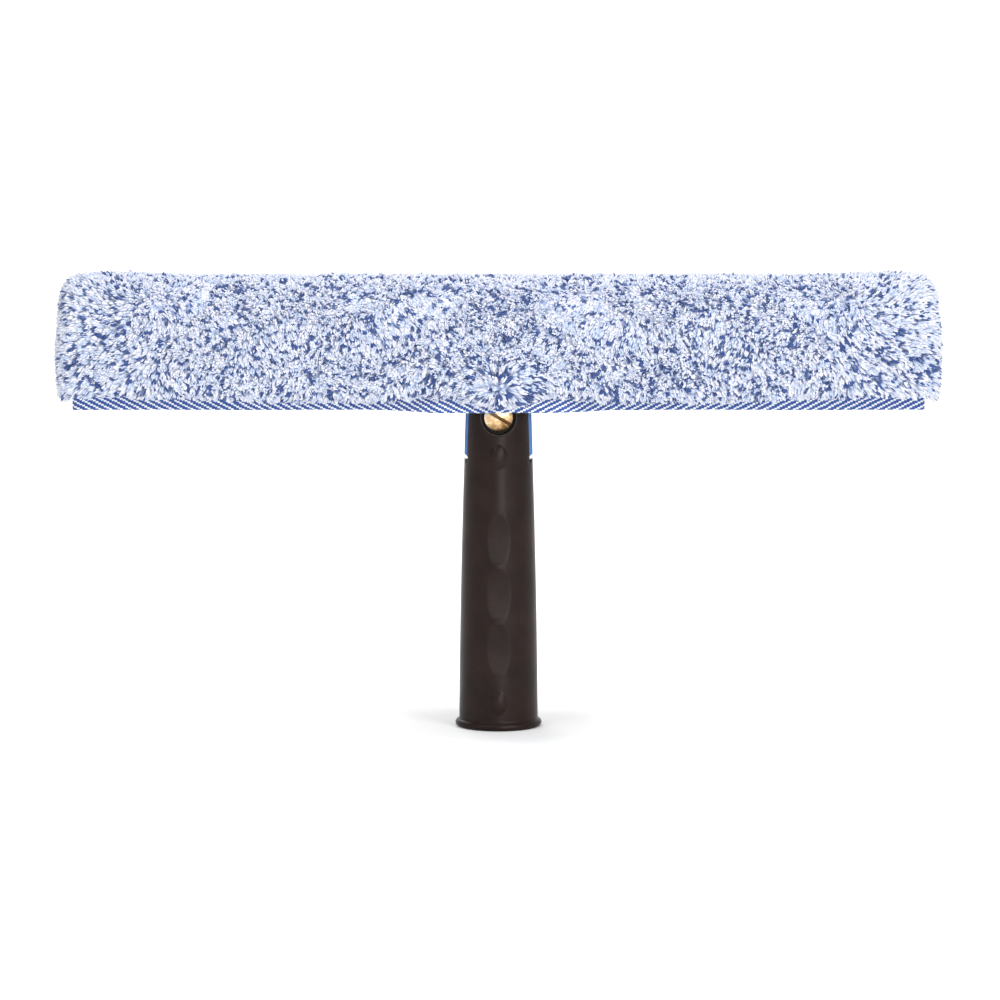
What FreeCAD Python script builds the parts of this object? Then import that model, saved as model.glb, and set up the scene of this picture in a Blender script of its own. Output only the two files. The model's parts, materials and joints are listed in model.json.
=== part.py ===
"""Swivel T-bar window washer: a tapered grip, a swivel joint on a screw, and a crossbar in a pile sleeve.

Millimetres. +Z is up, X runs along the crossbar and -Y is the front, where the screw head is.
The origin is the centre of the grip's lower end, which is also the mouth of the pole socket.
"""

import FreeCAD, Part
import math
import os

import Sketcher

V = FreeCAD.Vector
doc = FreeCAD.newDocument("window_washer")
sheet = doc.addObject("Spreadsheet::Sheet", "Sizes")


# ---------------------------------------------------------------- driving dimensions
class Dim:
    """A length that knows its value and the spreadsheet formula it comes from."""

    def __init__(self, value, text):
        self.value = value
        self.text = text

    def __add__(self, other):
        other = dim(other)
        return Dim(self.value + other.value, f"({self.text} + {other.text})")

    def __sub__(self, other):
        other = dim(other)
        return Dim(self.value - other.value, f"({self.text} - {other.text})")

    def __mul__(self, other):
        other = dim(other)
        return Dim(self.value * other.value, f"({self.text} * {other.text})")

    def __truediv__(self, other):
        other = dim(other)
        return Dim(self.value / other.value, f"({self.text} / {other.text})")

    def __neg__(self):
        return Dim(-self.value, f"(0 - {self.text})")

    __radd__ = __add__
    __rmul__ = __mul__


def dim(size):
    """A plain number as a Dim; a Dim stays as it is."""
    return size if isinstance(size, Dim) else Dim(float(size), f"{float(size):.6g}")


def root(size):
    return Dim(math.sqrt(size.value), f"sqrt({size.text})")


def cell(alias, value):
    """Writes one driving dimension in the sheet and returns it as a Dim."""
    cell.row += 1
    sheet.set(f"A{cell.row}", alias.replace("_", " "))
    sheet.set(f"B{cell.row}", str(value))
    sheet.setAlias(f"B{cell.row}", alias)
    return Dim(float(value), f"Sizes.{alias}")


cell.row = 0

# Grip and its core. Radii are of the outside, heights are above the mouth.
rim_radius = cell("rim_radius", 17.65)
bead_radius = cell("bead_radius", 1.55)
grip_sweep_radius = cell("grip_sweep_radius", 4200)
shoulder_radius = cell("shoulder_radius", 14.02)
shoulder_height = cell("shoulder_height", 108)
pivot_height = cell("pivot_height", 128)
neck_radius = cell("neck_radius", 13.4)
dome_rise = cell("dome_rise", 11)
dome_edge_radius = cell("dome_edge_radius", 7.2)
dome_sweep_radius = cell("dome_sweep_radius", 12.4)
skin = cell("skin", 1.8)
mouth_radius = cell("mouth_radius", 12)
core_start = cell("core_start", 1.6)
socket_radius = cell("socket_radius", 11.2)
socket_straight = cell("socket_straight", 32)
socket_tip_radius = cell("socket_tip_radius", 8.8)
socket_depth = cell("socket_depth", 86)
wave_pitch = cell("wave_pitch", 22.6)
wave_start = cell("wave_start", 33.4)
wave_width = cell("wave_width", 20)
wave_depth = cell("wave_depth", 0.6)
wave_lift = cell("wave_lift", 0.1)
wave_cutter = cell("wave_cutter", 4)
boss_width = cell("boss_width", 6.4)
boss_length = cell("boss_length", 10)
boss_rise = cell("boss_rise", 1.0)
boss_root = cell("boss_root", 1.5)
upper_boss_height = cell("upper_boss_height", 112)
lower_boss_height = cell("lower_boss_height", 11.4)

# Fork slot and the swivel joint's hardware, along the pivot's axis.
slot_half = cell("slot_half", 5.8)
slot_floor_radius = cell("slot_floor_radius", 22.6)
slot_half_length = cell("slot_half_length", 20)
web_depth = cell("web_depth", 8)
counterbore_radius = cell("counterbore_radius", 7.1)
rear_recess_radius = cell("rear_recess_radius", 6.7)
shank_radius = cell("shank_radius", 3)
shank_overrun = cell("shank_overrun", 0.4)
shank_chamfer = cell("shank_chamfer", 0.6)
washer_clearance = cell("washer_clearance", 0.25)
shank_hole_radius = cell("shank_hole_radius", 3.2)
running_gap = cell("running_gap", 0.04)
washer_thickness = cell("washer_thickness", 0.6)
washer_radius = cell("washer_radius", 5.6)
spring_washer_radius = cell("spring_washer_radius", 5.4)
spring_washer_gap = cell("spring_washer_gap", 1.2)
head_radius = cell("head_radius", 5.75)
head_side = cell("head_side", 1.3)
head_rise = cell("head_rise", 1.1)
screw_slot_width = cell("screw_slot_width", 1.3)
screw_slot_depth = cell("screw_slot_depth", 1.5)
screw_slot_angle = cell("screw_slot_angle", 31)
nut_flats = cell("nut_flats", 10)
nut_height = cell("nut_height", 4.6)
nut_chamfer = cell("nut_chamfer", 0.5)
nut_gap = cell("nut_gap", 0.15)
friction_washer_radius = cell("friction_washer_radius", 11)
friction_washer_thickness = cell("friction_washer_thickness", 0.7)
stack_gap = cell("stack_gap", 0.05)
bush_radius = cell("bush_radius", 4.5)

# Swivel hub and crossbar.
hub_half = cell("hub_half", 5)
hub_arc_radius = cell("hub_arc_radius", 21)
hub_corner = cell("hub_corner", 13.9)
hub_chamfer = cell("hub_chamfer", 1.4)
hub_waist = cell("hub_waist", 13.2)
hub_waist_rise = cell("hub_waist_rise", 8)
hub_flare_radius = cell("hub_flare_radius", 9)
hub_edge = cell("hub_edge", 0.8)
hub_overlap = cell("hub_overlap", 3)
spigot_wall = cell("spigot_wall", 2.9)
bar_height = cell("bar_height", 159.5)
bar_half_depth = cell("bar_half_depth", 12)
bar_half_rise = cell("bar_half_rise", 15.5)
bar_wall = cell("bar_wall", 1.8)
bar_half_length = cell("bar_half_length", 167)
block_half = cell("block_half", 20)
spigot_half = cell("spigot_half", 58)
plug_gap = cell("plug_gap", 0.1)
water_slot_length = cell("water_slot_length", 12)
water_slot_height = cell("water_slot_height", 6)
water_slot_start = cell("water_slot_start", 74)
water_slot_pitch = cell("water_slot_pitch", 26)
cap_flange = cell("cap_flange", 2)
cap_plug = cell("cap_plug", 10)
cap_round = cell("cap_round", 1.2)
screw_offset = cell("screw_offset", 40)
tapping_radius = cell("tapping_radius", 1.5)
tapping_length = cell("tapping_length", 9)
tapping_head_radius = cell("tapping_head_radius", 2.9)
tapping_head_depth = cell("tapping_head_depth", 1.5)
tapping_gap = cell("tapping_gap", 0.05)
tapping_sink = cell("tapping_sink", 0.1)
driver_span = cell("driver_span", 3.6)
driver_width = cell("driver_width", 1)
driver_depth = cell("driver_depth", 0.8)

# Sleeve.
sleeve_half_length = cell("sleeve_half_length", 179)
cloth = cell("cloth", 1)
cloth_half_depth = cell("cloth_half_depth", 15)
cloth_half_length = cell("cloth_half_length", 171)
cloth_arch_height = cell("cloth_arch_height", 161.3)
cloth_edge_height = cell("cloth_edge_height", 140.8)
cloth_gap = cell("cloth_gap", 0.1)
pile_half_depth = cell("pile_half_depth", 24)
pile_arch_height = cell("pile_arch_height", 162)
pile_edge_height = cell("pile_edge_height", 136.4)
pile_turn_radius = cell("pile_turn_radius", 9)
pile_turn_inset = cell("pile_turn_inset", 7.5)
pile_end_round = cell("pile_end_round", 6)
hem_foot = cell("hem_foot", 130.2)
hem_lip = cell("hem_lip", 6.2)
hem_thickening = cell("hem_thickening", 0.3)
hem_join_half = cell("hem_join_half", 48)
neck_opening_half = cell("neck_opening_half", 24)
strip_thickness = cell("strip_thickness", 1.4)
strip_height = cell("strip_height", 4.6)
strip_start = cell("strip_start", 52)
strip_end = cell("strip_end", 166)
strip_gap = cell("strip_gap", 0.06)
strip_lift = cell("strip_lift", 0.3)
panel_lift = cell("panel_lift", 0.4)

REACH = 30  # how far a cut runs past the piece that it cuts
OVERRUN = 2  # the same, for a cut through a thin wall
TOUCH = 0.01  # closer than this counts as the same place


# ---------------------------------------------------------------- sketching helpers
def sketch(body, name, plane, offset=None):
    """A sketch on one of its body's own origin planes, moved along the plane's normal by offset."""
    made = body.newObject("Sketcher::SketchObject", name)
    support = [f for f in body.Origin.OriginFeatures if f.Role == plane][0]
    made.AttachmentSupport = [(support, "")]
    made.MapMode = "FlatFace"
    if offset is not None:
        made.AttachmentOffset = FreeCAD.Placement(V(0, 0, offset.value), FreeCAD.Rotation())
        made.setExpression("AttachmentOffset.Base.z", offset.text)
    return made


def pin_number(made, kind, index, position, size):
    """Holds one coordinate of a vertex at a sheet formula, measured from the sketch's origin."""
    if abs(size.value) < 1e-9:
        axis = -2 if kind == "DistanceX" else -1
        made.addConstraint(Sketcher.Constraint("PointOnObject", index, position, axis))
        return
    number = made.addConstraint(Sketcher.Constraint(kind, -1, 1, index, position, size.value))
    name = f"pin{number}"
    made.renameConstraint(number, name)
    made.setExpression(f"Constraints.{name}", size.text)


def arc_centre(start, end, radius):
    """Centre of the arc from start to end; a positive radius turns left, a negative one right."""
    chord = end - start
    half = chord.Length / 2
    away = math.sqrt(max(radius * radius - half * half, 0.0))
    left = V(-chord.y, chord.x, 0).normalize()
    return (start + end) * 0.5 + left * (away if radius > 0 else -away)


def hold_radius(made, index, radius):
    number = made.addConstraint(Sketcher.Constraint("Radius", index, abs(radius.value)))
    name = f"bend{number}"
    made.renameConstraint(number, name)
    made.setExpression(f"Constraints.{name}", f"abs({radius.text})")


def outline(made, points, arcs=None):
    """A closed loop. Edge i runs from point i to the next; arcs maps an edge to its signed radius.

    An arc that is exactly a half circle is held by its centre, as its radius follows from its ends.
    """
    arcs = arcs or {}
    places = [V(dim(u).value, dim(v).value, 0) for u, v in points]
    first = len(made.Geometry)
    ends = []
    for i, start in enumerate(places):
        end = places[(i + 1) % len(places)]
        if i in arcs:
            radius = dim(arcs[i])
            centre = arc_centre(start, end, radius.value)
            circle = Part.Circle(centre, V(0, 0, 1), abs(radius.value))
            begin, stop = (start, end) if radius.value > 0 else (end, start)
            angles = [math.atan2((p - centre).y, (p - centre).x) for p in (begin, stop)]
            made.addGeometry(Part.ArcOfCircle(circle, angles[0], angles[1]))
            if (end - start).Length < abs(radius.value) * 2 - 1e-6:
                hold_radius(made, first + i, radius)
            elif abs(start.y - end.y) < 1e-6:
                pin_number(made, "DistanceY", first + i, 3, dim(points[i][1]))
            else:
                pin_number(made, "DistanceX", first + i, 3, dim(points[i][0]))
            ends.append((1, 2) if radius.value > 0 else (2, 1))
        else:
            made.addGeometry(Part.LineSegment(start, end))
            ends.append((1, 2))
    for i, (u, v) in enumerate(points):
        before = (i - 1) % len(points)
        made.addConstraint(
            Sketcher.Constraint("Coincident", first + before, ends[before][1], first + i, ends[i][0])
        )
        pin_number(made, "DistanceX", first + i, ends[i][0], dim(u))
        pin_number(made, "DistanceY", first + i, ends[i][0], dim(v))


def circle(made, u, v, radius):
    index = made.addGeometry(Part.Circle(V(dim(u).value, dim(v).value, 0), V(0, 0, 1), radius.value))
    pin_number(made, "DistanceX", index, 3, dim(u))
    pin_number(made, "DistanceY", index, 3, dim(v))
    hold_radius(made, index, radius)


def oval(made, centre_v, half_width, half_rise):
    """An upright stadium: two round ends joined by flats, centred on the sketch's vertical axis."""
    low = centre_v - half_rise + half_width
    high = centre_v + half_rise - half_width
    points = [(half_width, low), (half_width, high), (-half_width, high), (-half_width, low)]
    outline(made, points, {1: half_width, 3: half_width})


# ---------------------------------------------------------------- feature helpers
def new_body(label):
    made = doc.addObject("PartDesign::Body", label)
    made.Label = label
    return made


def bind(feature, prop, size):
    setattr(feature, prop, dim(size).value)
    feature.setExpression(prop, dim(size).text)


def pad(body, profile, length, both=False, back=False):
    made = body.newObject("PartDesign::Pad", f"{body.Name}_pad")
    made.Profile = profile
    made.SideType = "Symmetric" if both else "One side"
    made.Reversed = back
    bind(made, "Length", length)
    return made


def pocket(body, profile, length, both=False, back=False):
    """Cuts along minus the sketch's normal, or along the normal with back, or both ways."""
    doc.recompute()
    before = body.Shape.Volume
    made = body.newObject("PartDesign::Pocket", f"{body.Name}_pocket")
    made.Profile = profile
    made.SideType = "Symmetric" if both else "One side"
    made.Reversed = back
    bind(made, "Length", length)
    doc.recompute()
    if body.Shape.Volume >= before:
        raise RuntimeError(f"{made.Name} cuts nothing from {body.Label}")
    return made


def turn(body, profile):
    """A full turn about the sketch's vertical axis."""
    made = body.newObject("PartDesign::Revolution", f"{body.Name}_turn")
    made.Profile = profile
    made.ReferenceAxis = (profile, ["V_Axis"])
    made.Angle = 360
    return made


def soften_edges(body, kind, base, size, wanted):
    """Adds a PartDesign Fillet or Chamfer to the edges of base for which wanted(edge) is true."""
    doc.recompute()
    names = [f"Edge{i + 1}" for i, e in enumerate(base.Shape.Edges) if wanted(e)]
    made = body.newObject(f"PartDesign::{kind}", f"{body.Name}_{kind.lower()}")
    made.Base = (base, names)
    bind(made, "Radius" if kind == "Fillet" else "Size", size)
    return made


def set_on_pivot(body):
    """Turns a piece made along its own Z so that Z points out of the front, on the pivot's axis."""
    body.Placement = FreeCAD.Placement(V(0, 0, pivot_height.value), FreeCAD.Rotation(V(1, 0, 0), 90))
    body.setExpression("Placement.Base.z", pivot_height.text)


# ---------------------------------------------------------------- handle
grip_base = rim_radius - bead_radius
rim_height = bead_radius * 2
dome_height = pivot_height + dome_rise


def cut_fork_slot(body):
    """The slot that the hub turns in, open to the top and both sides, with a hollow round floor."""
    profile = sketch(body, f"{body.Name}_slot", "XZ_Plane")
    drop = root(slot_floor_radius * slot_floor_radius - slot_half_length * slot_half_length)
    floor_edge = pivot_height - drop
    top = dome_height + REACH
    points = [
        (slot_half_length, floor_edge),
        (slot_half_length, top),
        (-slot_half_length, top),
        (-slot_half_length, floor_edge),
    ]
    outline(profile, points, {3: slot_floor_radius})
    pocket(body, profile, slot_half * 2, both=True)


def cut_round_recess(body, radius, front):
    """A round recess round the pivot's axis, from the fork's web out through one face."""
    offset = web_depth if front else -web_depth
    profile = sketch(body, f"{body.Name}_recess", "XZ_Plane", offset)
    circle(profile, 0, pivot_height, radius)
    pocket(body, profile, REACH, back=front)


def grip_surface(height):
    """Radius of the grip at a height, on the straight line from its base to its shoulder."""
    share = (height - rim_height) / (shoulder_height - rim_height)
    return grip_base + (shoulder_radius - grip_base) * share


def make_grip():
    """Soft skin over the core: rolled rim, gentle taper, finger waves front and back, low bosses."""
    body = new_body("handle_grip")
    profile = sketch(body, "grip_profile", "XZ_Plane")
    points = [
        (mouth_radius, 0),
        (grip_base, 0),
        (rim_radius, bead_radius),
        (grip_base, rim_height),
        (shoulder_radius, shoulder_height),
        (neck_radius, pivot_height),
        (dome_edge_radius, dome_height),
        (slot_half - skin, dome_height),
        (slot_half - skin, dome_height - skin),
        (dome_edge_radius - skin / 2, dome_height - skin),
        (neck_radius - skin, pivot_height),
        (shoulder_radius - skin, shoulder_height),
        (grip_base - skin, rim_height),
        (grip_base - skin, core_start),
        (mouth_radius, core_start),
    ]
    bends = {
        1: bead_radius,
        2: bead_radius,
        3: grip_sweep_radius,
        5: dome_sweep_radius,
        9: -dome_sweep_radius,
        11: -grip_sweep_radius,
    }
    outline(profile, points, bends)
    turn(body, profile)
    cut_fork_slot(body)
    cut_round_recess(body, rear_recess_radius, front=False)
    cut_round_recess(body, counterbore_radius, front=True)

    waves = sketch(body, "grip_waves", "YZ_Plane")
    bend = wave_width * wave_width / (wave_depth * 8)
    for side in (1, -1):
        for count in range(3):
            middle = wave_start + wave_pitch * count
            low, high = middle - wave_width / 2, middle + wave_width / 2
            inner = [grip_surface(low) + wave_lift, grip_surface(high) + wave_lift]
            outer = [r + wave_cutter for r in inner]
            loop = [
                (inner[0] * side, low),
                (outer[0] * side, low),
                (outer[1] * side, high),
                (inner[1] * side, high),
            ]
            outline(waves, loop, {3: -bend if side < 0 else bend})
    pocket(body, waves, REACH * 2, both=True)

    for name, height in (("upper_boss", upper_boss_height), ("lower_boss", lower_boss_height)):
        boss = body.newObject("PartDesign::AdditiveEllipsoid", name)
        boss.AttachmentSupport = [([f for f in body.Origin.OriginFeatures if f.Role == "XY_Plane"][0], "")]
        boss.MapMode = "FlatFace"
        bind(boss, "Radius1", boss_length / 2)
        bind(boss, "Radius2", boss_width / 2)
        bind(boss, "Radius3", (boss_rise + boss_root) / 2)
        place = (boss_root - boss_rise) / 2 - grip_surface(height)
        boss.AttachmentOffset = FreeCAD.Placement(V(0, place.value, height.value), FreeCAD.Rotation())
        boss.setExpression("AttachmentOffset.Base.y", place.text)
        boss.setExpression("AttachmentOffset.Base.z", height.text)
    return body


def make_core():
    """Rigid core: pole socket below, solid shank, and the two fork cheeks above."""
    body = new_body("handle_core")
    profile = sketch(body, "core_profile", "XZ_Plane")
    straight_top = core_start + socket_straight
    points = [
        (socket_radius, core_start),
        (grip_base - skin, core_start),
        (grip_base - skin, rim_height),
        (shoulder_radius - skin, shoulder_height),
        (neck_radius - skin, pivot_height),
        (dome_edge_radius - skin / 2, dome_height - skin),
        (0, dome_height - skin),
        (0, socket_depth),
        (socket_tip_radius, socket_depth),
        (socket_radius, straight_top),
    ]
    outline(profile, points, {2: grip_sweep_radius, 4: dome_sweep_radius})
    turn(body, profile)
    cut_fork_slot(body)
    cut_round_recess(body, counterbore_radius, front=True)

    hexagon = sketch(body, "nut_pocket_profile", "XZ_Plane", -web_depth)
    outline(hexagon, hexagon_points(nut_flats + nut_gap * 2, pivot_height))
    pocket(body, hexagon, REACH)
    hole = sketch(body, "shank_hole_profile", "XZ_Plane")
    circle(hole, 0, pivot_height, shank_hole_radius)
    pocket(body, hole, web_depth * 2 + OVERRUN, both=True)
    return body


def hexagon_points(flats, centre_v):
    """Corners of a hexagon with two upright flats, given its width across flats."""
    corner = flats / math.sqrt(3)
    return [
        (flats / 2, centre_v - corner / 2),
        (flats / 2, centre_v + corner / 2),
        (0, centre_v + corner),
        (-flats / 2, centre_v + corner / 2),
        (-flats / 2, centre_v - corner / 2),
        (0, centre_v - corner),
    ]


# ---------------------------------------------------------------- pivot hardware, made along its own Z
washer_foot = web_depth
spring_foot = web_depth + washer_thickness
head_foot = web_depth + washer_thickness * 2


def make_ring(label, inner, outer, foot, thickness):
    body = new_body(label)
    profile = sketch(body, f"{label}_profile", "XZ_Plane")
    top = foot + thickness
    outline(profile, [(inner, foot), (outer, foot), (outer, top), (inner, top)])
    turn(body, profile)
    set_on_pivot(body)
    return body


def make_spring_washer():
    """Split washer under the screw head: a ring with a narrow gap."""
    top = spring_foot + washer_thickness
    body = new_body("spring_washer")
    profile = sketch(body, "spring_washer_profile", "XZ_Plane")
    hole = shank_radius + washer_clearance
    edge = spring_washer_radius
    outline(profile, [(hole, spring_foot), (edge, spring_foot), (edge, top), (hole, top)])
    turn(body, profile)
    gap = sketch(body, "spring_washer_gap_profile", "XY_Plane", top + OVERRUN)
    half = spring_washer_gap / 2
    far = spring_washer_radius + OVERRUN
    outline(gap, [(-half, 0), (half, 0), (half, far), (-half, far)])
    pocket(body, gap, washer_thickness + OVERRUN * 2)
    set_on_pivot(body)
    return body


def make_pivot_screw():
    """Slotted raised-head brass screw: plain shank, chamfered tip, domed head with a slanting slot."""
    body = new_body("pivot_screw")
    profile = sketch(body, "pivot_screw_profile", "XZ_Plane")
    side_top = head_foot + head_side
    rise = head_rise
    dome = (head_radius * head_radius + rise * rise) / (rise * 2)
    tip = -(web_depth + nut_height + shank_overrun)
    points = [
        (0, tip),
        (shank_radius - shank_chamfer, tip),
        (shank_radius, tip + shank_chamfer),
        (shank_radius, head_foot),
        (head_radius, head_foot),
        (head_radius, side_top),
        (0, side_top + rise),
    ]
    outline(profile, points, {5: dome})
    turn(body, profile)
    above = side_top + rise + OVERRUN
    slot = sketch(body, "screw_slot_profile", "XY_Plane", above)
    slot.AttachmentOffset = FreeCAD.Placement(
        V(0, 0, above.value), FreeCAD.Rotation(V(0, 0, 1), -screw_slot_angle.value)
    )
    slot.setExpression("AttachmentOffset.Rotation.Angle", f"-{screw_slot_angle.text} * 1 deg")
    far = head_radius + OVERRUN
    half = screw_slot_width / 2
    outline(slot, [(-far, -half), (far, -half), (far, half), (-far, half)])
    pocket(body, slot, screw_slot_depth + OVERRUN)
    set_on_pivot(body)
    return body


def make_pivot_nut():
    """Brass hexagon nut, held against turning by the core's hexagon pocket."""
    body = new_body("pivot_nut")
    profile = sketch(body, "pivot_nut_profile", "XY_Plane", -web_depth - nut_height - stack_gap)
    outline(profile, hexagon_points(nut_flats, dim(0)))
    circle(profile, 0, 0, shank_radius + running_gap)
    made = pad(body, profile, nut_height)
    doc.recompute()
    rear_face = profile.Placement.Base.z

    def outer_rim(edge):
        straight = edge.Curve.TypeId == "Part::GeomLine"
        return straight and edge.BoundBox.ZMax < rear_face + TOUCH

    soften_edges(body, "Chamfer", made, nut_chamfer, outer_rim)
    set_on_pivot(body)
    return body


# ---------------------------------------------------------------- hub and crossbar
def make_hub():
    """Hub: flat tang between the cheeks, block across the top and a spigot for each crossbar arm."""
    body = new_body("swivel_hub")
    tang = sketch(body, "tang_profile", "XZ_Plane")
    low_corner = hub_corner - hub_chamfer
    foot = pivot_height - root(hub_arc_radius * hub_arc_radius - low_corner * low_corner)
    waist = pivot_height + hub_waist_rise
    flare_top = bar_height - bar_half_rise + hub_overlap
    points = [
        (low_corner, foot),
        (hub_corner, foot + hub_chamfer),
        (hub_waist, waist),
        (block_half, flare_top),
        (-block_half, flare_top),
        (-hub_waist, waist),
        (-hub_corner, foot + hub_chamfer),
        (-low_corner, foot),
    ]
    outline(tang, points, {2: -hub_flare_radius, 4: -hub_flare_radius, 7: hub_arc_radius})
    first = pad(body, tang, hub_half * 2, both=True)

    def tang_rim(edge):
        box = edge.BoundBox
        on_face = abs(abs(box.YMin) - hub_half.value) < TOUCH and abs(box.YMax - box.YMin) < TOUCH
        return on_face and box.ZMin < flare_top.value - TOUCH

    soften_edges(body, "Chamfer", first, hub_edge, tang_rim)
    block = sketch(body, "block_profile", "YZ_Plane")
    oval(block, bar_height, bar_half_depth, bar_half_rise)
    pad(body, block, block_half * 2, both=True)
    spigot = sketch(body, "spigot_profile", "YZ_Plane")
    inset = bar_wall + plug_gap
    oval(spigot, bar_height, bar_half_depth - inset, bar_half_rise - inset)
    pad(body, spigot, spigot_half * 2, both=True)
    hollow = sketch(body, "spigot_hollow_profile", "YZ_Plane")
    inner = inset + spigot_wall
    oval(hollow, bar_height, bar_half_depth - inner, bar_half_rise - inner)
    pocket(body, hollow, spigot_half * 2 + OVERRUN, both=True)
    bore = sketch(body, "bush_bore_profile", "XZ_Plane")
    circle(bore, 0, pivot_height, bush_radius)
    pocket(body, bore, hub_half * 2 + OVERRUN, both=True)
    pilots = sketch(body, "hub_pilot_profile", "XZ_Plane")
    for side in (1, -1):
        circle(pilots, screw_offset * side, bar_height, tapping_radius)
    pocket(body, pilots, REACH * 2, both=True)
    return body


def make_arm(label, side):
    """Crossbar arm: an oval tube with water-holding slots, pushed on a spigot of the hub."""
    body = new_body(label)
    start = block_half if side > 0 else -bar_half_length
    tube = sketch(body, f"{label}_profile", "YZ_Plane", start)
    oval(tube, bar_height, bar_half_depth, bar_half_rise)
    oval(tube, bar_height, bar_half_depth - bar_wall, bar_half_rise - bar_wall)
    pad(body, tube, bar_half_length - block_half)
    slots = sketch(body, f"{label}_slots", "XZ_Plane")
    half = water_slot_height / 2
    for count in range(4):
        left = (water_slot_start + water_slot_pitch * count) * side - water_slot_length / 2
        right = left + water_slot_length
        loop = [(left, bar_height - half), (right, bar_height - half)]
        loop += [(right, bar_height + half), (left, bar_height + half)]
        outline(slots, loop, {1: half, 3: half})
    pocket(body, slots, REACH * 2, both=True)
    holes = sketch(body, f"{label}_screw_holes", "XZ_Plane")
    circle(holes, screw_offset * side, bar_height, tapping_head_radius + tapping_gap)
    pocket(body, holes, REACH * 2, both=True)
    return body


def make_end_cap(label, side):
    """Moulded cap: an oval flange over the tube's end and a plug inside it."""
    body = new_body(label)
    flange = sketch(body, f"{label}_flange", "YZ_Plane", bar_half_length * side)
    oval(flange, bar_height, bar_half_depth, bar_half_rise)
    first = pad(body, flange, cap_flange, back=side < 0)
    far = (bar_half_length + cap_flange).value

    def outer_rim(edge):
        box = edge.BoundBox
        return abs(box.XMax - box.XMin) < TOUCH and abs(abs(box.XMin) - far) < TOUCH

    soften_edges(body, "Fillet", first, cap_round, outer_rim)
    plug = sketch(body, f"{label}_plug", "YZ_Plane", bar_half_length * side)
    inset = bar_wall + plug_gap
    oval(plug, bar_height, bar_half_depth - inset, bar_half_rise - inset)
    pad(body, plug, cap_plug, back=side > 0)
    return body


def tapping_screw(top, inward):
    """One countersunk tapping screw with a cross recess, its head's face at top and its shank inward."""
    radius = (tapping_radius - tapping_gap).value
    head = Part.makeCone(tapping_head_radius.value, radius, tapping_head_depth.value, top, inward)
    shank = Part.makeCylinder(radius, tapping_length.value, top, inward)
    span, width, depth = driver_span.value, driver_width.value, driver_depth.value
    upright = Part.makeBox(width, depth, span)
    upright.translate(top - V(width, depth, span) / 2)
    level = Part.makeBox(span, depth, width)
    level.translate(top - V(span, depth, width) / 2)
    return head.fuse(shank).removeSplitter().cut(upright.fuse(level)).Solids[0]


def make_arm_screws():
    """Four tapping screws, front and back, that fix the arms to the hub's spigots."""
    face = bar_half_depth - tapping_sink
    solids = []
    for side in (1, -1):
        for front in (1, -1):
            top = V((screw_offset * side).value, (-face * front).value, bar_height.value)
            solids.append(tapping_screw(top, V(0, front, 0)))
    made = doc.addObject("Part::Feature", "arm_screws")
    made.Label = "arm_screws"
    made.Shape = Part.makeCompound(solids)
    made.Placement = FreeCAD.Placement()
    return made


# ---------------------------------------------------------------- sleeve
def arch(made, half_depth, arch_height, foot):
    """An upright arch: straight sides from foot up to a half round, closed along its foot."""
    points = [(-half_depth, foot), (half_depth, foot), (half_depth, arch_height), (-half_depth, arch_height)]
    outline(made, points, {2: half_depth})


def make_backing():
    """Woven base cloth, wrapped over the crossbar as a long arch that is open below."""
    body = new_body("sleeve_backing")
    profile = sketch(body, "backing_profile", "YZ_Plane")
    inner = cloth_half_depth - cloth
    points = [
        (inner, cloth_edge_height),
        (cloth_half_depth, cloth_edge_height),
        (cloth_half_depth, cloth_arch_height),
        (-cloth_half_depth, cloth_arch_height),
        (-cloth_half_depth, cloth_edge_height),
        (-inner, cloth_edge_height),
        (-inner, cloth_arch_height),
        (inner, cloth_arch_height),
    ]
    outline(profile, points, {2: cloth_half_depth, 6: -inner})
    pad(body, profile, cloth_half_length * 2, both=True)
    return body


def make_pile():
    """Pile round the base cloth: a round-topped shell with closed ends, open along its foot."""
    body = new_body("sleeve_pile")
    profile = sketch(body, "pile_profile", "YZ_Plane")
    inner = cloth_half_depth + cloth_gap
    turn_top = pile_edge_height + pile_turn_radius
    turn_foot = pile_half_depth - pile_turn_inset
    points = [
        (turn_foot, pile_edge_height),
        (pile_half_depth, turn_top),
        (pile_half_depth, pile_arch_height),
        (-pile_half_depth, pile_arch_height),
        (-pile_half_depth, turn_top),
        (-turn_foot, pile_edge_height),
    ]
    outline(profile, points, {0: pile_turn_radius, 2: pile_half_depth, 4: pile_turn_radius})
    first = pad(body, profile, sleeve_half_length * 2, both=True)
    end = sleeve_half_length.value

    def end_rim(edge):
        box = edge.BoundBox
        on_end = abs(abs(box.XMin) - end) < TOUCH and abs(box.XMax - box.XMin) < TOUCH
        return on_end and box.ZMax > pile_edge_height.value + TOUCH

    soften_edges(body, "Fillet", first, pile_end_round, end_rim)
    cavity = sketch(body, "pile_cavity", "YZ_Plane")
    arch(cavity, inner, cloth_arch_height, pile_edge_height - OVERRUN)
    pocket(body, cavity, (cloth_half_length + cloth + cloth_gap * 2) * 2, both=True)
    return body


def make_end_panel(label, side):
    """End panel of base cloth that closes one end of the sleeve."""
    body = new_body(label)
    start = (cloth_half_length + cloth_gap) * side
    profile = sketch(body, f"{label}_profile", "YZ_Plane", start)
    arch(profile, cloth_half_depth, cloth_arch_height, pile_edge_height + panel_lift)
    pad(body, profile, cloth, back=side < 0)
    return body


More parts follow.
